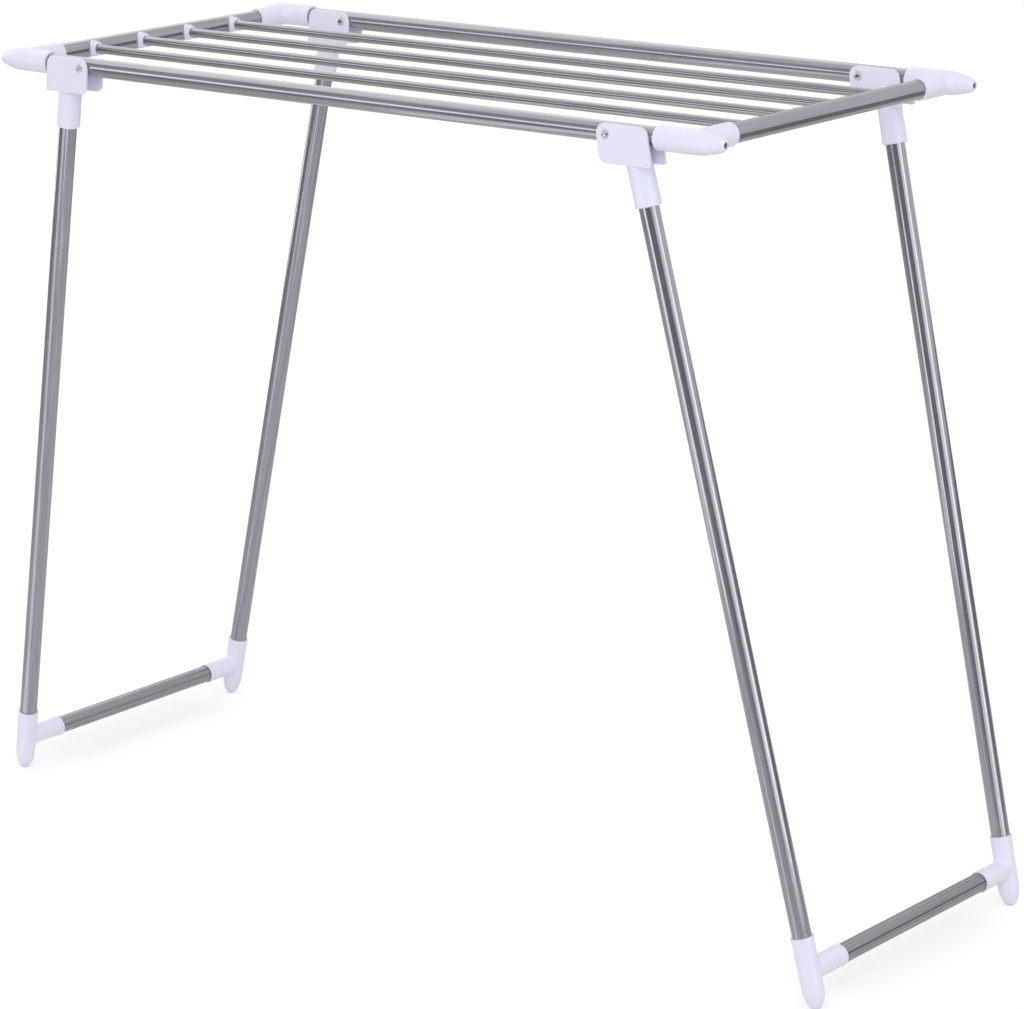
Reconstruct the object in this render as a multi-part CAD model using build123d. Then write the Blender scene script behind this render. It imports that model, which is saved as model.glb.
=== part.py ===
from build123d import *
import math
import os

# Folding clothes drying rack: a flat top frame of stainless tubes and drying rods, carried by two leg
# frames that fold inwards under it. Millimetres, +Z up, origin on the floor under the middle of the rack.
# X runs along the rails, Y from the front rail to the back rail.

# Tubes and rods
tube_diameter = 19.0
tube_wall = 0.7
rod_diameter = 9.5
rod_wall = 0.6
flute_count = 16
flute_radius = 1.3
flute_depth = 0.5

# Top frame, to the tube axes
rail_height = 815.0
rail_half_spacing = 195.0
end_half_spacing = 446.0
rod_count = 4
rod_pitch = 69.0
rod_end_inset = 6.0

# Leg frames
leg_splay = 12.5
foot_half_spacing = 163.5
crossbar_height = 36.0

# Corner elbows
elbow_wall = 2.25
elbow_side_wall = 1.75
elbow_rail_arm = 42.5
elbow_end_arm = 48.5
elbow_core = 14.0
elbow_nose_reach = 33.5
elbow_nose_length = 33.0
elbow_blend_radius = 8.0
elbow_mouth_rounding = 1.0

# Corner screws
screw_diameter = 3.0
screw_length = 9.0
screw_head_diameter = 6.0
screw_head_height = 1.6
screw_recess = 2.0

# Rod collars
collar_diameter = 17.0
collar_flange = 2.2
collar_boss_diameter = 13.6
collar_boss_reach = 4.4
collar_neck_diameter = 12.6
collar_neck_depth = 2.0

# Hinge brackets
plate_thickness = 2.7
plate_high_rise = 9.7
plate_low_rise = 6.0
plate_below_rail = 17.5
plate_inner_reach = 12.0
plate_outer_reach = 48.0
plate_inner_lean = 4.5
plate_outer_lean = 4.0
plate_inner_top_radius = 10.0
plate_outer_top_radius = 10.0
plate_inner_bottom_radius = 9.0
plate_outer_bottom_radius = 2.5
plate_elbow_gap = 5.5
plate_edge_rounding = 0.8
socket_wall = 2.9
socket_taper = 0.4
socket_length = 66.5
socket_grip = 48.0
socket_shoulder_height = 4.0
socket_shoulder_step = 0.3
socket_mouth_rounding = 1.2

# Hinge rivets
rivet_diameter = 5.0
rivet_head_diameter = 9.0
rivet_head_height = 2.4
rivet_tail_diameter = 9.4
rivet_tail_height = 1.6
rivet_bore_diameter = 3.4
rivet_bore_depth = 5.0

# Feet
foot_wall = 1.25
foot_length = 71.0
foot_grip = 33.0
foot_nose_length = 20.5
foot_sole_cut = 0.8
foot_lip_height = 4.0
foot_lip_step = 0.35
foot_side_reach = 48.0
foot_side_core = 14.0
foot_side_lip = 3.0
foot_blend_radius = 4.5

# Clearances: radial ones for fits, gaps along a face for parts that move past each other
socket_clearance = 0.05
collar_clearance = 0.05
pivot_clearance = 0.05
rivet_head_gap = 0.1
rail_side_gap = 0.3
rail_seat_gap = 0.3
fold_gap = 0.4

# Sizes that follow from the ones above
tube_radius = tube_diameter / 2
rod_radius = rod_diameter / 2
bore_radius = tube_radius + socket_clearance
elbow_radius = bore_radius + elbow_wall
elbow_side_radius = bore_radius + elbow_side_wall
screw_head_seat = elbow_nose_reach - screw_recess - screw_head_height
socket_radius = bore_radius + socket_wall
foot_radius = bore_radius + foot_wall
clevis_half_gap = tube_radius + rail_side_gap
clevis_half_width = clevis_half_gap + plate_thickness
rod_places = [(index - (rod_count - 1) / 2) * rod_pitch for index in range(rod_count)]

# The brackets hang on the rails just inside the elbows.
pivot_half_spacing = end_half_spacing - elbow_rail_arm - plate_elbow_gap - plate_outer_reach

# A folded leg frame lies under the other end's elbows, so its feet set how far the legs hang off the pivots.
splay = math.radians(leg_splay)
leg_offset = elbow_radius + foot_radius + fold_gap
leg_top_x = pivot_half_spacing + leg_offset / math.cos(splay)
leg_floor_x = leg_top_x + rail_height * math.tan(splay)

# The front right leg's axis, from its floor point to the height of the rails
leg_floor = Vector(leg_floor_x, -foot_half_spacing, 0)
leg_top = Vector(leg_top_x, -rail_half_spacing, rail_height)
leg_up = (leg_top - leg_floor).normalized()
crossbar_place = leg_floor + leg_up * (crossbar_height / leg_up.Z)
foot_axis = Plane(origin=leg_floor, z_dir=leg_up)

end_corner = Pos(end_half_spacing, -rail_half_spacing, rail_height)
rivet_plane = Plane(
    origin=(pivot_half_spacing, -rail_half_spacing, rail_height),
    x_dir=(1, 0, 0),
    z_dir=(0, -1, 0),
)

on_floor_side = (Align.CENTER, Align.CENTER, Align.MIN)


def rod_between(start, end, radius):
    """A round bar from one point to another."""
    start = Vector(start)
    run = Vector(end) - start
    return Plane(origin=start, z_dir=run) * Cylinder(radius, run.length, align=on_floor_side)


def tube_between(start, end, diameter, wall):
    """A round tube from one point to another."""
    bar = rod_between(start, end, diameter / 2)
    return bar - rod_between(start, end, diameter / 2 - wall)


def make_rail():
    """The front rail, with a cross hole for each hinge rivet."""
    half = end_half_spacing - elbow_core
    start = (-half, -rail_half_spacing, rail_height)
    end = (half, -rail_half_spacing, rail_height)
    rail = tube_between(start, end, tube_diameter, tube_wall)
    for side in (-1, 1):
        hole = Cylinder(rivet_diameter / 2, 2 * tube_diameter, rotation=(90, 0, 0))
        rail -= Pos(side * pivot_half_spacing, -rail_half_spacing, rail_height) * hole
    return rail


def make_end_tube():
    """The right end tube, with a row of collar holes on its inner side."""
    half = rail_half_spacing - elbow_core
    start = (end_half_spacing, -half, rail_height)
    end = (end_half_spacing, half, rail_height)
    tube = tube_between(start, end, tube_diameter, tube_wall)
    for place in rod_places:
        axis_point = (end_half_spacing, place, rail_height)
        inside = (end_half_spacing - tube_diameter, place, rail_height)
        tube -= rod_between(axis_point, inside, collar_neck_diameter / 2 + collar_clearance)
    return tube


def make_drying_rod(place):
    """A drying rod whose ends reach through the inner walls of both end tubes."""
    half = end_half_spacing - tube_radius + rod_end_inset
    start = (-half, place, rail_height)
    end = (half, place, rail_height)
    return tube_between(start, end, rod_diameter, rod_wall)


def make_collar(place):
    """A saddle-shaped grommet on the inner side of the right end tube, with a neck in the tube's wall."""
    tube_line = Cylinder(tube_radius, 2 * collar_diameter, rotation=(90, 0, 0))
    saddle = Cylinder(tube_radius + collar_flange, 2 * collar_diameter, rotation=(90, 0, 0))
    reach = tube_radius + collar_boss_reach
    flange = saddle & rod_between((0, 0, 0), (-reach, 0, 0), collar_diameter / 2)
    boss = rod_between((0, 0, 0), (-reach, 0, 0), collar_boss_diameter / 2)
    boss_rim = boss.faces().sort_by(Axis.X)[0].edges()
    boss = fillet(boss_rim, collar_flange / 2)
    neck_start = tube_radius - tube_wall - collar_neck_depth
    neck = rod_between((-neck_start, 0, 0), (-reach + collar_flange, 0, 0), collar_neck_diameter / 2)
    collar = (flange + boss - tube_line) + neck
    collar -= rod_between((0, 0, 0), (-2 * reach, 0, 0), rod_radius + collar_clearance)
    return Pos(end_half_spacing, place, rail_height) * collar


def bullet_nose(radius, length, tip):
    """Half the outline of a bullet's nose, from its tip on the axis up to its full radius."""
    middle = (radius * math.sqrt(0.5), tip + length * (1 - math.sqrt(0.5)))
    return Spline([(0, tip), middle, (radius, tip + length)], tangents=[(1, 0), (0, 1)])


def make_elbow():
    """The front right corner: a bullet on the rail's axis, with a side socket for the end tube."""
    body_length = elbow_nose_reach + elbow_rail_arm
    nose = bullet_nose(elbow_radius, elbow_nose_length, 0)
    sides = Polyline(
        [
            (elbow_radius, elbow_nose_length),
            (elbow_radius, body_length),
            (0, body_length),
            (0, 0),
        ]
    )
    body_axis = Plane(origin=(elbow_nose_reach, 0, 0), x_dir=(0, -1, 0), z_dir=(-1, 0, 0))
    body = body_axis * revolve(Plane.XZ * make_face([nose, sides]), axis=Axis.Z)
    elbow = body + rod_between((0, 0, 0), (0, elbow_end_arm, 0), elbow_side_radius)
    joint_edges = [
        edge for edge in elbow.edges()
        if edge.geom_type not in (GeomType.LINE, GeomType.CIRCLE) and edge.center().Y > 0
    ]
    elbow = fillet(joint_edges, elbow_blend_radius)
    for axis, place in ((Axis.X, 0), (Axis.Y, -1)):
        mouth = elbow.faces().sort_by(axis)[place]
        elbow = fillet(mouth.edges(), elbow_mouth_rounding)
    elbow -= rod_between((0, elbow_core, 0), (0, 2 * elbow_end_arm, 0), bore_radius)
    elbow -= rod_between((-elbow_core, 0, 0), (-2 * elbow_rail_arm, 0, 0), bore_radius)
    head_radius = screw_head_diameter / 2 + socket_clearance
    elbow -= rod_between((screw_head_seat, 0, 0), (2 * elbow_nose_reach, 0, 0), head_radius)
    elbow -= rod_between((screw_head_seat - screw_length, 0, 0), (screw_head_seat, 0, 0), screw_diameter / 2)
    return end_corner * elbow


def make_screw():
    """The front right corner screw: a short shank under a low domed head, sunk in the elbow's nose."""
    head_top = screw_head_seat + screw_head_height
    shank = rod_between((screw_head_seat - screw_length, 0, 0), (screw_head_seat, 0, 0), screw_diameter / 2)
    head = rod_between((screw_head_seat, 0, 0), (head_top, 0, 0), screw_head_diameter / 2)
    rim = head.faces().sort_by(Axis.X)[-1].edges()
    return end_corner * (shank + fillet(rim, screw_head_height / 2))


def plate_outline(rise):
    """One cheek of the bracket, seen from the front, with the rivet at its origin and outboard to +X."""
    bottom = -tube_radius - plate_below_rail
    corners = [
        ((-plate_inner_reach, rise), plate_inner_top_radius),
        ((plate_outer_reach, rise), plate_outer_top_radius),
        ((plate_outer_reach + plate_outer_lean, bottom), plate_outer_bottom_radius),
        ((-plate_inner_reach + plate_inner_lean, bottom), plate_inner_bottom_radius),
    ]
    outline = make_face(Polyline([place for place, radius in corners], close=True))
    for place, radius in corners:
        corner = outline.vertices().sort_by_distance((*place, 0))[0]
        outline = fillet(corner, radius)
    return outline


def make_cheek(rise):
    """The bracket's outer cheek, standing off the rail's side and rounded along its outer rim."""
    cheek = Pos(0, 0, clevis_half_gap) * extrude(plate_outline(rise), plate_thickness)
    rim = cheek.faces().sort_by(Axis.Z)[-1].edges()
    return fillet(rim, plate_edge_rounding)


def make_bracket(outer_rise, inner_rise):
    """The front right hinge bracket: two cheeks beside the rail, on a round socket that holds the leg."""
    cheeks = make_cheek(outer_rise) + mirror(make_cheek(inner_rise), about=Plane.XY)
    cheeks -= Cylinder(rivet_diameter / 2 + pivot_clearance, 4 * clevis_half_width)

    # The socket stands on the leg's axis, and its top is cut level to seat the opened rail.
    mouth = leg_top - leg_up * socket_length
    shoulder_drop = (tube_radius + plate_below_rail + socket_shoulder_height) / leg_up.Z
    shoulder = leg_top - leg_up * shoulder_drop
    upper = rod_between(shoulder, leg_top, socket_radius - socket_taper + socket_shoulder_step)
    skirt_length = socket_length - shoulder_drop
    skirt = Cone(socket_radius, socket_radius - socket_taper, skirt_length, align=on_floor_side)
    skirt_rim = skirt.faces().sort_by(Axis.Z)[0].edges()
    skirt = Plane(origin=mouth, z_dir=leg_up) * fillet(skirt_rim, socket_mouth_rounding)
    seat = Plane.XY.offset(rail_height - tube_radius - rail_seat_gap)
    upper = split(upper, bisect_by=seat, keep=Keep.BOTTOM)
    bracket = rivet_plane * cheeks + upper + skirt
    return bracket - rod_between(mouth - leg_up * socket_length, mouth + leg_up * socket_grip, bore_radius)


def dome_middle(radius, height):
    """The point halfway along a dome's arc, from its rim on the axis plane."""
    sphere_radius = (radius**2 + height**2) / (2 * height)
    half_angle = math.asin(radius / sphere_radius) / 2
    rise = height - sphere_radius * (1 - math.cos(half_angle))
    return sphere_radius * math.sin(half_angle), rise


def make_rivet():
    """The front right hinge rivet: a domed head outside and a rolled hollow tail inside."""
    head_face = clevis_half_width + rivet_head_gap
    tail_end = -head_face - rivet_tail_height
    bore = rivet_bore_diameter / 2
    tail = rivet_tail_diameter / 2
    dome_x, dome_rise = dome_middle(rivet_head_diameter / 2, rivet_head_height)
    roll_middle = ((bore + tail) / 2 + rivet_tail_height / 2, tail_end + rivet_tail_height / 4)
    outline = [
        Line((0, tail_end + rivet_bore_depth), (bore, tail_end + rivet_bore_depth)),
        Line((bore, tail_end + rivet_bore_depth), (bore, tail_end)),
        ThreePointArc((bore, tail_end), roll_middle, (tail, -head_face)),
        Line((tail, -head_face), (rivet_diameter / 2, -head_face)),
        Line((rivet_diameter / 2, -head_face), (rivet_diameter / 2, head_face)),
        Line((rivet_diameter / 2, head_face), (rivet_head_diameter / 2, head_face)),
        ThreePointArc(
            (rivet_head_diameter / 2, head_face),
            (dome_x, head_face + dome_rise),
            (0, head_face + rivet_head_height),
        ),
        Line((0, head_face + rivet_head_height), (0, tail_end + rivet_bore_depth)),
    ]
    profile = Plane.XZ * make_face(outline)
    return rivet_plane * revolve(profile, axis=Axis.Z)


def make_leg():
    """The front right leg, from the floor of the foot's socket to the roof of the bracket's socket."""
    start = leg_floor + leg_up * (foot_length - foot_grip)
    end = leg_top - leg_up * (socket_length - socket_grip)
    return tube_between(start, end, tube_diameter, tube_wall)


def make_foot():
    """The front right foot: a bullet-shaped shoe with a side socket for the crossbar."""
    # The nose is a half egg turned about the leg's axis, set low enough for the floor to cut a sole.
    tilt = math.acos(leg_up.Z)
    nose_drop = math.hypot(foot_nose_length * math.cos(tilt), foot_radius * math.sin(tilt))
    nose_centre = (nose_drop - foot_sole_cut) / math.cos(tilt)
    nose_tip = nose_centre - foot_nose_length
    lip_radius = foot_radius + foot_lip_step
    nose = bullet_nose(foot_radius, foot_nose_length, nose_tip)
    upper = Polyline(
        [
            (foot_radius, nose_centre),
            (foot_radius, foot_length - foot_lip_height),
            (lip_radius, foot_length - foot_lip_height),
            (lip_radius, foot_length),
            (0, foot_length),
            (0, nose_tip),
        ]
    )
    shoe = foot_axis * revolve(Plane.XZ * make_face([nose, upper]), axis=Axis.Z)
    side_end = crossbar_place + Vector(0, foot_side_reach, 0)
    side_lip = crossbar_place + Vector(0, foot_side_reach - foot_side_lip, 0)
    side = rod_between(crossbar_place, side_end, foot_radius - foot_lip_step)
    foot = shoe + side
    joint_edges = [
        edge for edge in foot.edges()
        if edge.geom_type not in (GeomType.LINE, GeomType.CIRCLE) and edge.center().Y > leg_floor.Y
    ]
    foot = fillet(joint_edges, foot_blend_radius)
    foot += rod_between(side_lip, side_end, foot_radius)
    foot -= rod_between(leg_floor + leg_up * (foot_length - foot_grip), leg_top, bore_radius)
    bar_start = crossbar_place + Vector(0, foot_side_core, 0)
    foot -= rod_between(bar_start, bar_start + Vector(0, foot_side_reach, 0), bore_radius)
    return split(foot, bisect_by=Plane.XY, keep=Keep.TOP)


def make_crossbar():
    """The right crossbar: a tube with shallow flutes all along it."""
    length = 2 * (-crossbar_place.Y - foot_side_core)
    section = Circle(tube_radius)
    flute = Circle(flute_radius)
    section -= PolarLocations(tube_radius + flute_radius - flute_depth, flute_count) * flute
    section -= Circle(tube_radius - tube_wall - flute_depth)
    bar = extrude(section, length / 2, both=True)
    return Pos(crossbar_place.X, 0, crossbar_height) * Rot(90, 0, 0) * bar


# Every piece is modelled on the front or at the right, and turned over to its other places.
front_to_back = Plane.XZ
right_to_left = Plane.YZ

pieces = {}
pieces["front_rail"] = make_rail()
pieces["back_rail"] = mirror(pieces["front_rail"], about=front_to_back)
pieces["right_end_tube"] = make_end_tube()
pieces["left_end_tube"] = mirror(pieces["right_end_tube"], about=right_to_left)
for number, place in enumerate(rod_places, start=1):
    pieces[f"drying_rod_{number}"] = make_drying_rod(place)
    pieces[f"rod_collar_right_{number}"] = make_collar(place)
    pieces[f"rod_collar_left_{number}"] = mirror(pieces[f"rod_collar_right_{number}"], about=right_to_left)

front_right_screw = make_screw()
right_screws = [front_right_screw, mirror(front_right_screw, about=front_to_back)]
left_screws = [mirror(screw, about=right_to_left) for screw in right_screws]
pieces["corner_screws"] = Compound(children=right_screws + left_screws)

# The cheek on the front side of each rail stands high, the one on the back side low.
front_masters = {
    "corner_elbow": make_elbow(),
    "hinge_bracket": make_bracket(plate_high_rise, plate_low_rise),
    "hinge_rivet": make_rivet(),
    "leg": make_leg(),
    "foot": make_foot(),
}
back_masters = dict(front_masters)
back_masters["hinge_bracket"] = make_bracket(plate_low_rise, plate_high_rise)
for name in front_masters:
    front_right = front_masters[name]
    back_right = mirror(back_masters[name], about=front_to_back)
    pieces[f"{name}_front_right"] = front_right
    pieces[f"{name}_back_right"] = back_right
    pieces[f"{name}_front_left"] = mirror(front_right, about=right_to_left)
    pieces[f"{name}_back_left"] = mirror(back_right, about=right_to_left)

pieces["crossbar_right"] = make_crossbar()
pieces["crossbar_left"] = mirror(pieces["crossbar_right"], about=right_to_left)

os.makedirs("parts", exist_ok=True)
for name, piece in pieces.items():
    export_step(piece, f"parts/{name}.step")
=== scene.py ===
import bpy
import math
from mathutils import Matrix, Quaternion, Vector


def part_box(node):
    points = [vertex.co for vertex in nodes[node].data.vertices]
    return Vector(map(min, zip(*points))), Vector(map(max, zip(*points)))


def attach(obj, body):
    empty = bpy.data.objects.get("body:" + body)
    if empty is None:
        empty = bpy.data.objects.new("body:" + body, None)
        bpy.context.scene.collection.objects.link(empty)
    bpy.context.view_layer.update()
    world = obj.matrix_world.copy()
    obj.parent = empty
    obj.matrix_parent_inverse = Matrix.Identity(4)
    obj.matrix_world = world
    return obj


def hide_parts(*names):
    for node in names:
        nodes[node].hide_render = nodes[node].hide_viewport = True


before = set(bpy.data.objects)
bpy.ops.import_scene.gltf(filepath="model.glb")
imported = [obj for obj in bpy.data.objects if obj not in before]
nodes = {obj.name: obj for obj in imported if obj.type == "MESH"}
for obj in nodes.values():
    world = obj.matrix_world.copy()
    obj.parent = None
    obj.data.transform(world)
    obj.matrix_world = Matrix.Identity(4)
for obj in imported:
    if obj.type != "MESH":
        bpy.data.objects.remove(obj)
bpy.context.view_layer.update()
print("frame loaded:", len(nodes), "nodes")

mm = 0.001
corners = ["front_left", "front_right", "back_left", "back_right"]
noiseLow, noiseHigh = 0.3, 0.7      # a noise texture seldom leaves this range


def hexColor(code):
    # sRGB hex to the linear values that sockets take
    channels = [int(code[i:i + 2], 16) / 255 for i in (1, 3, 5)]
    linear = [c / 12.92 if c <= 0.04045 else ((c + 0.055) / 1.055) ** 2.4 for c in channels]
    return (*linear, 1.0)


white = hexColor("#ffffff")


def addNode(tree, kind, settings=None, inputs=None):
    # settings are the node's own properties; an input is a value or another node's output
    node = tree.nodes.new(kind)
    for key, value in (settings or {}).items():
        setattr(node, key, value)
    for key, value in (inputs or {}).items():
        if isinstance(value, bpy.types.NodeSocket):
            tree.links.new(value, node.inputs[key])
        else:
            node.inputs[key].default_value = value
    return node


def newMaterial(name):
    material = bpy.data.materials.new(name)
    material.use_nodes = True
    material.node_tree.nodes.clear()
    return material, material.node_tree


def dress(piece, material):
    piece.data.materials.clear()
    piece.data.materials.append(material)


def cornerSides(corner):
    sideX = 1 if "right" in corner else -1
    sideY = 1 if "back" in corner else -1
    return sideX, sideY


steelSpec = {
    "color": "#a9a8b0",
    "streakColor": "#95939c",
    "roughness": (0.11, 0.21),
    "ringMm": 2.2,              # polishing rings are near 0.2 mm, drawn ten times coarser so that they show
    "ringArcMm": 40.0,          # how far a ring runs round the tube before it fades
    "ringStrength": 0.12,
    "ringDepthMm": 0.1,
    "streakMm": 3.0,            # width of a streak from the drawing die
    "streakLengthMm": 150.0,
}


def paintedFluteShade(tree, along, tint, spec):
    # the flutes are painted darker than the lands: painted shade in the grooves
    turned = addNode(tree, "ShaderNodeTexGradient", {"gradient_type": "RADIAL"},
                     {"Vector": along.outputs["Vector"]})
    phase = addNode(tree, "ShaderNodeMath", {"operation": "MULTIPLY"},
                    {0: turned.outputs["Fac"], 1: 2 * math.pi * spec["fluteCount"]})
    wave = addNode(tree, "ShaderNodeMath", {"operation": "COSINE"}, {0: phase.outputs["Value"]})
    fluteLow, fluteHigh = spec["fluteEdge"]
    flute = addNode(tree, "ShaderNodeMapRange", None, {
        "Value": wave.outputs["Value"], "From Min": fluteLow, "From Max": fluteHigh})
    return addNode(tree, "ShaderNodeMix", {"data_type": "RGBA"}, {
        "Factor": flute.outputs["Result"], "A": tint.outputs["Result"],
        "B": hexColor(spec["fluteShadeColor"])})


def seamTint(tree, centred, tint, spec):
    # the strip is rolled into a tube along Y, and its edges meet in a dark line
    turn = math.radians(spec["seamTurn"])
    outward = (math.cos(turn), 0, math.sin(turn))
    sideways = (-math.sin(turn), 0, math.cos(turn))
    across = addNode(tree, "ShaderNodeVectorMath", {"operation": "DOT_PRODUCT"},
                     {0: centred.outputs["Vector"], 1: sideways})
    off = addNode(tree, "ShaderNodeMath", {"operation": "ABSOLUTE"}, {0: across.outputs["Value"]})
    fullTo, fadedAt = [share * spec["seamMm"] * mm for share in spec["seamEdge"]]
    line = addNode(tree, "ShaderNodeMapRange", None, {
        "Value": off.outputs["Value"], "From Min": fullTo, "From Max": fadedAt, "To Min": 1.0, "To Max": 0.0})
    depth = addNode(tree, "ShaderNodeVectorMath", {"operation": "DOT_PRODUCT"},
                    {0: centred.outputs["Vector"], 1: outward})
    near = addNode(tree, "ShaderNodeMath", {"operation": "GREATER_THAN"},
                   {0: depth.outputs["Value"], 1: 0.0})
    seam = addNode(tree, "ShaderNodeMath", {"operation": "MULTIPLY"},
                   {0: line.outputs["Result"], 1: near.outputs["Value"]})
    return addNode(tree, "ShaderNodeMix", {"data_type": "RGBA"}, {
        "Factor": seam.outputs["Value"], "A": tint.outputs["Result"], "B": hexColor(spec["seamColor"])})


def steelMaterial(name, axis, spec, middle=(0, 0, 0)):
    # Stainless tube, drawn and then polished on a centreless belt: soft bright lines along the tube,
    # with faint rings round it where the belt passed.
    material, tree = newMaterial(name)
    coords = addNode(tree, "ShaderNodeTexCoord")
    centred = addNode(tree, "ShaderNodeMapping", None,
                      {"Vector": coords.outputs["Object"], "Location": -Vector(middle)})
    turn = Vector(axis).normalized().to_track_quat("Z", "Y").inverted().to_euler()
    along = addNode(tree, "ShaderNodeMapping", None,
                    {"Vector": centred.outputs["Vector"], "Rotation": turn})
    streakScale = 1 / (spec["streakMm"] * mm)
    streakPlace = addNode(tree, "ShaderNodeMapping", None, {
        "Vector": along.outputs["Vector"],
        "Scale": (streakScale, streakScale, 1 / (spec["streakLengthMm"] * mm))})
    streak = addNode(tree, "ShaderNodeTexNoise", None, {
        "Vector": streakPlace.outputs["Vector"], "Scale": 1.0, "Detail": 3.0, "Roughness": 0.6})
    ringScale = 1 / (spec["ringArcMm"] * mm)
    ringPlace = addNode(tree, "ShaderNodeMapping", None, {
        "Vector": along.outputs["Vector"],
        "Scale": (ringScale, ringScale, 1 / (spec["ringMm"] * mm))})
    ring = addNode(tree, "ShaderNodeTexNoise", None, {
        "Vector": ringPlace.outputs["Vector"], "Scale": 1.0, "Detail": 2.0, "Roughness": 0.5})
    drawn = addNode(tree, "ShaderNodeMapRange", None, {
        "Value": streak.outputs["Fac"], "From Min": noiseLow, "From Max": noiseHigh})
    tint = addNode(tree, "ShaderNodeMix", {"data_type": "RGBA"}, {
        "Factor": drawn.outputs["Result"], "A": hexColor(spec["color"]),
        "B": hexColor(spec["streakColor"])})
    if "fluteCount" in spec:
        # painted shade in the flutes of the crossbars
        tint = paintedFluteShade(tree, along, tint, spec)
        tint = seamTint(tree, centred, tint, spec)
    smoothest, roughest = spec["roughness"]
    rough = addNode(tree, "ShaderNodeMapRange", None, {
        "Value": ring.outputs["Fac"], "From Min": noiseLow, "From Max": noiseHigh,
        "To Min": smoothest, "To Max": roughest})
    bump = addNode(tree, "ShaderNodeBump", None, {
        "Strength": spec["ringStrength"], "Distance": spec["ringDepthMm"] * mm,
        "Height": ring.outputs["Fac"]})
    shader = addNode(tree, "ShaderNodeBsdfPrincipled", None, {
        "Base Color": tint.outputs["Result"], "Metallic": 1.0, "Roughness": rough.outputs["Result"],
        "Normal": bump.outputs["Normal"]})
    addNode(tree, "ShaderNodeOutputMaterial", None, {"Surface": shader.outputs["BSDF"]})
    return material


railSteel = steelMaterial("stainless tube polished along X", (1, 0, 0), steelSpec)
crossSteel = steelMaterial("stainless tube polished along Y", (0, 1, 0), steelSpec)
for name in ("front_rail", "back_rail"):
    dress(nodes[name], railSteel)
for name in ("left_end_tube", "right_end_tube"):
    dress(nodes[name], crossSteel)

barSpec = dict(
    steelSpec,
    # the bars' steel is painted darker than the other tubes: painted shade from their flutes and from the
    # floor close below them
    color="#a2a1a8",
    streakColor="#8c8a92",
    fluteCount=16,
    # the colour of the painted shade in the flutes
    fluteShadeColor="#95949b",
    fluteEdge=(-0.1, 0.9),      # from land to full flute, on a cosine round the tube
    seamMm=1.3,
    seamEdge=(0.3, 0.7),        # shares of its width at which the line starts to fade and ends
    seamColor="#5f5e66",
    seamTurns={"crossbar_left": 202.5, "crossbar_right": 20.0},     # degrees up from +X
)
for name, seamTurn in barSpec["seamTurns"].items():
    low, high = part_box(name)
    barSteel = steelMaterial(f"stainless fluted {name.replace('_', ' ')}", (0, 1, 0),
                             dict(barSpec, seamTurn=seamTurn), (low + high) / 2)
    dress(nodes[name], barSteel)

rodSpec = dict(steelSpec, color="#a8a7ae", streakColor="#929098", roughness=(0.09, 0.19), ringMm=1.6,
               streakMm=2.0)
rodSteel = steelMaterial("stainless rod polished along X", (1, 0, 0), rodSpec)
for name, node in nodes.items():
    if name.startswith("drying_rod"):
        dress(node, rodSteel)

for corner in corners:
    low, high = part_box(f"leg_{corner}")
    sideX, sideY = cornerSides(corner)
    run = high - low
    legAxis = (-sideX * run.x, sideY * run.y, run.z)
    legSteel = steelMaterial(f"stainless leg tube {corner.replace('_', ' ')}", legAxis, steelSpec)
    dress(nodes[f"leg_{corner}"], legSteel)
print("steel dressed")

plasticSpec = {
    "color": "#e6e6f8",
    "shadeColor": "#e0e0f4",
    "roughness": (0.29, 0.39),
    "ior": 1.49,
    "grainMm": 0.5,             # mould grain near 0.05 mm, drawn ten times coarser so that it shows
    "grainStrength": 0.15,
    "grainDepthMm": 0.1,
    "cloudMm": 30.0,            # slow change of shade where the melt flowed
}


def plasticMaterial(name, spec):
    # Polypropylene, injection moulded in a satin-polished tool: a cool white with a soft sheen.
    material, tree = newMaterial(name)
    coords = addNode(tree, "ShaderNodeTexCoord")
    cloud = addNode(tree, "ShaderNodeTexNoise", None, {
        "Vector": coords.outputs["Object"], "Scale": 1 / (spec["cloudMm"] * mm), "Detail": 2.0})
    grain = addNode(tree, "ShaderNodeTexNoise", None, {
        "Vector": coords.outputs["Object"], "Scale": 1 / (spec["grainMm"] * mm), "Detail": 2.0})
    tint = addNode(tree, "ShaderNodeMix", {"data_type": "RGBA"}, {
        "Factor": cloud.outputs["Fac"], "A": hexColor(spec["color"]), "B": hexColor(spec["shadeColor"])})
    smoothest, roughest = spec["roughness"]
    rough = addNode(tree, "ShaderNodeMapRange", None, {
        "Value": cloud.outputs["Fac"], "From Min": noiseLow, "From Max": noiseHigh,
        "To Min": smoothest, "To Max": roughest})
    bump = addNode(tree, "ShaderNodeBump", None, {
        "Strength": spec["grainStrength"], "Distance": spec["grainDepthMm"] * mm,
        "Height": grain.outputs["Fac"]})
    shader = addNode(tree, "ShaderNodeBsdfPrincipled", None, {
        "Base Color": tint.outputs["Result"], "Roughness": rough.outputs["Result"], "IOR": spec["ior"],
        "Normal": bump.outputs["Normal"]})
    addNode(tree, "ShaderNodeOutputMaterial", None, {"Surface": shader.outputs["BSDF"]})
    return material


whitePlastic = plasticMaterial("polypropylene moulded cool white", plasticSpec)
for name, node in nodes.items():
    if name.startswith(("corner_elbow", "hinge_bracket", "foot", "rod_collar")):
        dress(node, whitePlastic)
print("plastic dressed")

rivetSpec = {"color": "#cdcdd2", "dullColor": "#b6b6bc", "roughness": (0.1, 0.24), "wearMm": 1.2}


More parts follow.
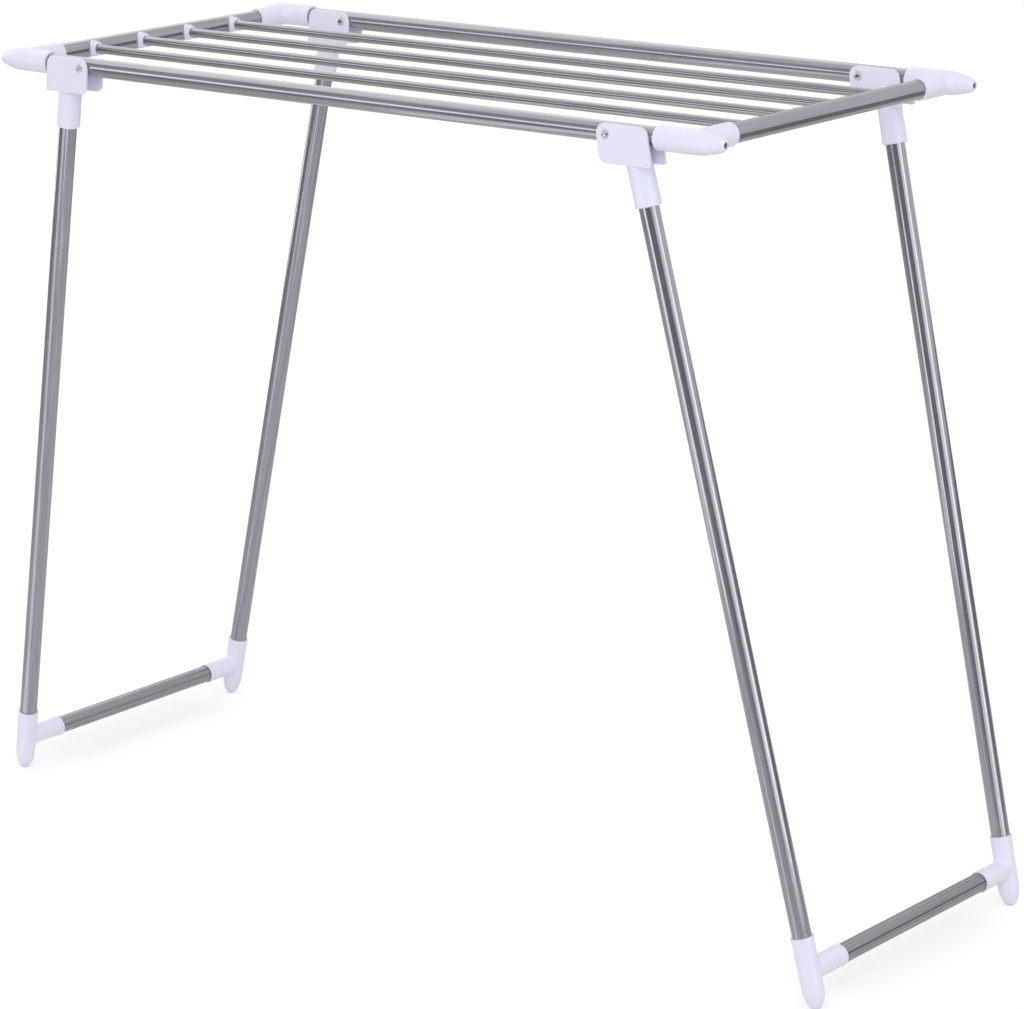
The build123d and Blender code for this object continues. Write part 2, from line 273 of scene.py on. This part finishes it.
def platedMaterial(name, spec):
    # Formed steel with a bright plating: even, a little cloudy from the forming tool.
    material, tree = newMaterial(name)
    coords = addNode(tree, "ShaderNodeTexCoord")
    wear = addNode(tree, "ShaderNodeTexNoise", None, {
        "Vector": coords.outputs["Object"], "Scale": 1 / (spec["wearMm"] * mm), "Detail": 3.0})
    tint = addNode(tree, "ShaderNodeMix", {"data_type": "RGBA"}, {
        "Factor": wear.outputs["Fac"], "A": hexColor(spec["color"]), "B": hexColor(spec["dullColor"])})
    smoothest, roughest = spec["roughness"]
    rough = addNode(tree, "ShaderNodeMapRange", None, {
        "Value": wear.outputs["Fac"], "From Min": noiseLow, "From Max": noiseHigh,
        "To Min": smoothest, "To Max": roughest})
    shader = addNode(tree, "ShaderNodeBsdfPrincipled", None, {
        "Base Color": tint.outputs["Result"], "Metallic": 1.0, "Roughness": rough.outputs["Result"]})
    addNode(tree, "ShaderNodeOutputMaterial", None, {"Surface": shader.outputs["BSDF"]})
    return material


rivetSteel = platedMaterial("nickel plated rivet", rivetSpec)
for corner in corners:
    dress(nodes[f"hinge_rivet_{corner}"], rivetSteel)

screwSpec = {
    "color": "#85858a",
    "dullColor": "#6e6e74",
    "roughness": (0.28, 0.42),
    "wearMm": 0.8,
    "headMm": 6.0,
    "headHeightMm": 1.6,
    "headSides": 48,
    "rimMm": 0.8,
    "rimSteps": 6,
    "shankMm": 3.0,
    "shankLengthMm": 9.0,
    "slotMm": 0.75,
    "slotReachMm": 1.9,
    "slotDepthMm": 0.95,
    "slotTaper": 0.6,
    "smoothBelow": 35,          # degrees between faces that still shade as one surface
    "turns": {"front_left": 12, "front_right": 63, "back_left": 41, "back_right": 77},
}
levelNormal = 0.9       # a face whose normal has more Z than this lies level


def pickFaces(piece, wanted):
    # leaves edit mode's selection on the faces that the test picks
    bpy.ops.object.mode_set(mode="EDIT")
    bpy.ops.mesh.select_mode(type="FACE")
    bpy.ops.mesh.select_all(action="DESELECT")
    bpy.ops.object.mode_set(mode="OBJECT")
    for face in piece.data.polygons:
        face.select = wanted(face)
    bpy.ops.object.mode_set(mode="EDIT")


def modelSlot(spec, turn):
    # the cutter for one slot of the cross, narrower at the bottom
    bpy.ops.object.select_all(action="DESELECT")
    bpy.ops.mesh.primitive_cube_add(size=1)
    slot = bpy.context.object
    slot.scale = (2 * spec["slotReachMm"] * mm, spec["slotMm"] * mm, 2 * spec["slotDepthMm"] * mm)
    slot.rotation_euler.z = math.radians(turn)
    bpy.ops.object.transform_apply(location=True, rotation=True, scale=True)
    pickFaces(slot, lambda face: face.normal.z < -levelNormal)
    bpy.ops.transform.resize(value=(spec["slotTaper"], spec["slotTaper"], 1))
    bpy.ops.object.mode_set(mode="OBJECT")
    return slot


def modelScrew(spec):
    # stands on its tip, with the top of its head at the origin
    headRadius = spec["headMm"] / 2 * mm
    headHeight = spec["headHeightMm"] * mm
    bpy.ops.object.select_all(action="DESELECT")
    bpy.ops.mesh.primitive_cylinder_add(vertices=spec["headSides"], radius=headRadius, depth=headHeight,
                                        location=(0, 0, -headHeight / 2))
    screw = bpy.context.object
    bpy.ops.object.transform_apply(location=True, rotation=True, scale=True)
    pickFaces(screw, lambda face: face.normal.z < -levelNormal)
    bpy.ops.mesh.inset(thickness=headRadius - spec["shankMm"] / 2 * mm)
    shankMove = (0, 0, -spec["shankLengthMm"] * mm)
    bpy.ops.mesh.extrude_region_move(TRANSFORM_OT_translate={"value": shankMove})
    pickFaces(screw, lambda face: face.normal.z > levelNormal)
    bpy.ops.mesh.region_to_loop()
    bpy.ops.mesh.bevel(offset=spec["rimMm"] * mm, segments=spec["rimSteps"], affect="EDGES")
    bpy.ops.object.mode_set(mode="OBJECT")
    for turn in (0, 90):
        slot = modelSlot(spec, turn)
        cut = screw.modifiers.new("cross", "BOOLEAN")
        cut.operation = "DIFFERENCE"
        cut.solver = "EXACT"
        cut.object = slot
        bpy.context.view_layer.objects.active = screw
        bpy.ops.object.modifier_apply(modifier=cut.name)
        bpy.data.objects.remove(slot, do_unlink=True)
    return screw


screwSteel = platedMaterial("zinc plated screw", screwSpec)
low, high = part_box("corner_screws")
screwHeight = (low.z + high.z) / 2
screwReach = high.y - screwSpec["headMm"] / 2 * mm
firstScrew = modelScrew(screwSpec)
screws = []
for corner in corners:
    sideX, sideY = cornerSides(corner)
    screw = firstScrew.copy()
    screw.data = firstScrew.data.copy()
    bpy.context.scene.collection.objects.link(screw)
    spin = Matrix.Rotation(math.radians(screwSpec["turns"][corner]), 4, "Z")
    lay = Matrix.Rotation(sideX * math.pi / 2, 4, "Y")
    seat = Matrix.Translation((sideX * high.x, sideY * screwReach, screwHeight))
    screw.matrix_world = seat @ lay @ spin
    screws.append(screw)
bpy.data.objects.remove(firstScrew, do_unlink=True)
bpy.ops.object.select_all(action="DESELECT")
for screw in screws:
    screw.select_set(True)
bpy.context.view_layer.objects.active = screws[0]
bpy.ops.object.transform_apply(location=True, rotation=True, scale=True)
bpy.ops.object.join()
screwSet = bpy.context.object
screwSet.name = "cross_head_screws"
bpy.ops.object.shade_smooth_by_angle(angle=math.radians(screwSpec["smoothBelow"]))
dress(screwSet, screwSteel)
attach(screwSet, "top_frame")
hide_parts("corner_screws")
print("rivets and screws dressed")

floorSpec = {"radius": 40.0, "sides": 96, "place": (0, 0, -0.0003), "color": "#e7e7e7", "lift": 0.3}


def seenLevel(tree):
    # 1 where the camera, a mirror-like surface or a clear one looks, 0 for light that falls on the rack
    path = addNode(tree, "ShaderNodeLightPath")
    seen = addNode(tree, "ShaderNodeMath", {"operation": "ADD"},
                   {0: path.outputs["Is Camera Ray"], 1: path.outputs["Is Glossy Ray"]})
    seen = addNode(tree, "ShaderNodeMath", {"operation": "ADD", "use_clamp": True},
                   {0: seen.outputs["Value"], 1: path.outputs["Is Transmission Ray"]})
    return seen.outputs["Value"]


bpy.ops.object.select_all(action="DESELECT")
bpy.ops.mesh.primitive_circle_add(vertices=floorSpec["sides"], radius=floorSpec["radius"],
                                  fill_type="NGON", location=floorSpec["place"])
floor = bpy.context.object
floor.name = "studio_floor"
floorMaterial, tree = newMaterial("white paper sweep")      # matt paper: even, and it takes a soft shadow
paper = addNode(tree, "ShaderNodeBsdfDiffuse", None, {"Color": hexColor(floorSpec["color"])})
lift = addNode(tree, "ShaderNodeMath", {"operation": "MULTIPLY"},
               {0: seenLevel(tree), 1: floorSpec["lift"]})
glow = addNode(tree, "ShaderNodeEmission", None, {"Color": white, "Strength": lift.outputs["Value"]})
both = addNode(tree, "ShaderNodeAddShader", None,
               {0: paper.outputs["BSDF"], 1: glow.outputs["Emission"]})
addNode(tree, "ShaderNodeOutputMaterial", None, {"Surface": both.outputs["Shader"]})
dress(floor, floorMaterial)

worldSpec = {"fill": 0.88, "back": 1.0}
world = bpy.data.worlds.new("studio")
world.use_nodes = True
bpy.context.scene.world = world
tree = world.node_tree
tree.nodes.clear()
level = addNode(tree, "ShaderNodeMapRange", None, {
    "Value": seenLevel(tree), "To Min": worldSpec["fill"], "To Max": worldSpec["back"]})
sky = addNode(tree, "ShaderNodeBackground", None,
              {"Color": white, "Strength": level.outputs["Result"]})
addNode(tree, "ShaderNodeOutputWorld", None, {"Surface": sky.outputs["Background"]})
print("floor and backdrop set")

keySpec = {"place": (1.45, -1.65, 1.4), "aim": (0.1, 0, 0.75), "size": 1.2, "watts": 3.5}
keyData = bpy.data.lights.new("soft_key", "AREA")
keyData.energy = keySpec["watts"]
keyData.size = keySpec["size"]
key = bpy.data.objects.new("soft_key", keyData)
key.location = keySpec["place"]
keyFrom = Vector(keySpec["place"]) - Vector(keySpec["aim"])
key.rotation_euler = keyFrom.to_track_quat("Z", "Y").to_euler()
key.visible_glossy = False      # the soft boxes below stand for it in the steel
bpy.context.scene.collection.objects.link(key)

fillSpec = {"strength": 0.42, "angle": 50.0, "turn": (66, 0, 34)}
fillData = bpy.data.lights.new("wide_fill", "SUN")
fillData.energy = fillSpec["strength"]
fillData.angle = math.radians(fillSpec["angle"])
fill = bpy.data.objects.new("wide_fill", fillData)
fill.rotation_euler = [math.radians(a) for a in fillSpec["turn"]]
fill.visible_glossy = False
bpy.context.scene.collection.objects.link(fill)

# What the polished tubes mirror: soft boxes, a white board, dark cloths, and a white table that fades into
# a dark room. A card without an aim lies on the table and looks up.
rackMiddle = (0, 0, 0.6)
cardSpecs = [
    {"name": "softbox_right", "place": (2.75, 0.1, 0.5), "aim": rackMiddle, "size": (0.8, 2.8),
     "level": 2.6},
    {"name": "softbox_right_wing", "place": (1.67, -0.385, 0.5), "aim": (1.12, 0.45, 0.5),
     "size": (0.67, 1.6), "level": 1.5},
    {"name": "softbox_front_left", "place": (-2.75, -3.1, 1.2), "aim": rackMiddle, "size": (2.4, 1.35),
     "level": 2.3, "fade": {"axes": (0, 1, 0), "start": 0.0, "end": 0.5, "level": 0.95}},
    {"name": "softbox_back_left", "place": (-4.4, 1.5, 3.5), "aim": rackMiddle, "size": (6.8, 4.6),
     "level": 1.5},
    {"name": "softbox_left", "place": (-2.75, -0.1, 1.1), "aim": rackMiddle, "size": (0.8, 1.7),
     "level": 2.6},
    {"name": "softbox_over_right", "place": (3.9, 0.2, 3.4), "aim": rackMiddle, "size": (5.0, 2.6),
     "level": 1.6},
    {"name": "board_front", "place": (0.2, -0.98, 0.385), "aim": (0.2, 0, 0.385), "size": (0.29, 0.53),
     "turn": -14, "level": 2.2},
    {"name": "table_glow_left", "place": (-0.6, -1.33, 0.002), "size": (1.25, 2.5), "turn": -2,
     "taper": 0.04, "level": 1.4},
    {"name": "table_glow_right", "place": (0.433, -0.54, 0.002), "size": (0.2, 0.75), "turn": -15,
     "taper": 0.06, "level": 1.4},
    {"name": "cloth_right_back", "place": (1.66, 1.85, 0.26), "aim": (0, 0, 0.26), "size": (2.6, 0.52),
     "level": 0.33},
    {"name": "cloth_on_floor", "place": (1.35, 1.5, 0.002), "size": (1.1, 1.2), "level": 0.33},
    {"name": "cloth_behind_camera", "place": (3.0, -5.2, 1.2), "aim": rackMiddle, "size": (6.0, 3.2),
     "level": 0.34},
    {"name": "cloth_back_left", "place": (-3.0, 5.2, 0.7), "aim": (0, 0, 0.7), "size": (5.6, 1.4),
     "level": 0.36},
    {"name": "cloth_over_front_left", "place": (-3.2, -3.3, 3.1), "aim": rackMiddle, "size": (3.6, 2.3),
     "level": 0.55},
]
tablePlace = (-2.5, -3.0, 0.001)
tableSpec = {
    "place": tablePlace,
    "radius": 9.0,
    "sides": 96,
    "level": 0.86,
    "fade": {"shift": tablePlace, "axes": (1, 1, 0), "start": 0.5, "end": 3.6, "level": 0.36},
}


def mirroredOnly(card, spec):
    # Shows in the tubes' reflections, and neither lights the rack nor shows in the picture.
    material, tree = newMaterial(f"{card.name} surface")
    level = spec["level"]
    if "fade" in spec:
        # from the card's own middle, or from the rack for the table
        fade = spec["fade"]
        coords = addNode(tree, "ShaderNodeTexCoord")
        moved = addNode(tree, "ShaderNodeMapping", None, {
            "Vector": coords.outputs["Object"], "Location": fade.get("shift", (0, 0, 0)),
            "Scale": fade["axes"]})
        far = addNode(tree, "ShaderNodeVectorMath", {"operation": "LENGTH"}, {0: moved.outputs["Vector"]})
        faded = addNode(tree, "ShaderNodeMapRange", None, {
            "Value": far.outputs["Value"], "From Min": fade["start"], "From Max": fade["end"],
            "To Min": spec["level"], "To Max": fade["level"]})
        level = faded.outputs["Result"]
    glow = addNode(tree, "ShaderNodeEmission", None, {"Color": white, "Strength": level})
    addNode(tree, "ShaderNodeOutputMaterial", None, {"Surface": glow.outputs["Emission"]})
    dress(card, material)
    card.visible_camera = False
    card.visible_diffuse = False
    card.visible_transmission = False
    card.visible_shadow = False


def narrowEnd(card, taper):
    # a card that looks up comes out turned half round, so its lower end is the one by the rack
    bpy.ops.object.mode_set(mode="EDIT")
    bpy.ops.mesh.select_mode(type="VERT")
    bpy.ops.mesh.select_all(action="DESELECT")
    bpy.ops.object.mode_set(mode="OBJECT")
    for vertex in card.data.vertices:
        vertex.select = vertex.co.y < 0
    bpy.ops.object.mode_set(mode="EDIT")
    bpy.ops.transform.resize(value=(taper, taper, taper))
    bpy.ops.object.mode_set(mode="OBJECT")


for spec in cardSpecs:
    place = Vector(spec["place"])
    look = Vector(spec["aim"]) - place if "aim" in spec else Vector((0, 0, 1))
    roll = Quaternion((0, 0, 1), math.radians(spec.get("turn", 0)))
    facing = look.to_track_quat("Z", "Y") @ roll
    bpy.ops.object.select_all(action="DESELECT")
    bpy.ops.mesh.primitive_plane_add(size=1, location=place, rotation=facing.to_euler())
    card = bpy.context.object
    card.name = spec["name"]
    card.scale = (*spec["size"], 1)
    if "taper" in spec:
        narrowEnd(card, spec["taper"])
    mirroredOnly(card, spec)

bpy.ops.object.select_all(action="DESELECT")
bpy.ops.mesh.primitive_circle_add(vertices=tableSpec["sides"], radius=tableSpec["radius"],
                                  fill_type="NGON", location=tableSpec["place"])
table = bpy.context.object
table.name = "white_table"
mirroredOnly(table, tableSpec)
print("light set")

cameraSpec = {"place": (2.4476, -2.7314, 1.3897), "turn": (74.317, 1.343, 40.96), "lens": 128.78,
              "sensor": 36.0, "sight": 200.0}
cameraData = bpy.data.cameras.new("photo_view")
cameraData.lens = cameraSpec["lens"]
cameraData.sensor_width = cameraSpec["sensor"]
cameraData.clip_end = cameraSpec["sight"]
camera = bpy.data.objects.new("photo_view", cameraData)
camera.location = cameraSpec["place"]
camera.rotation_euler = [math.radians(a) for a in cameraSpec["turn"]]
bpy.context.scene.collection.objects.link(camera)
bpy.context.scene.camera = camera
bpy.context.scene.view_settings.view_transform = "Standard"
print("camera set")
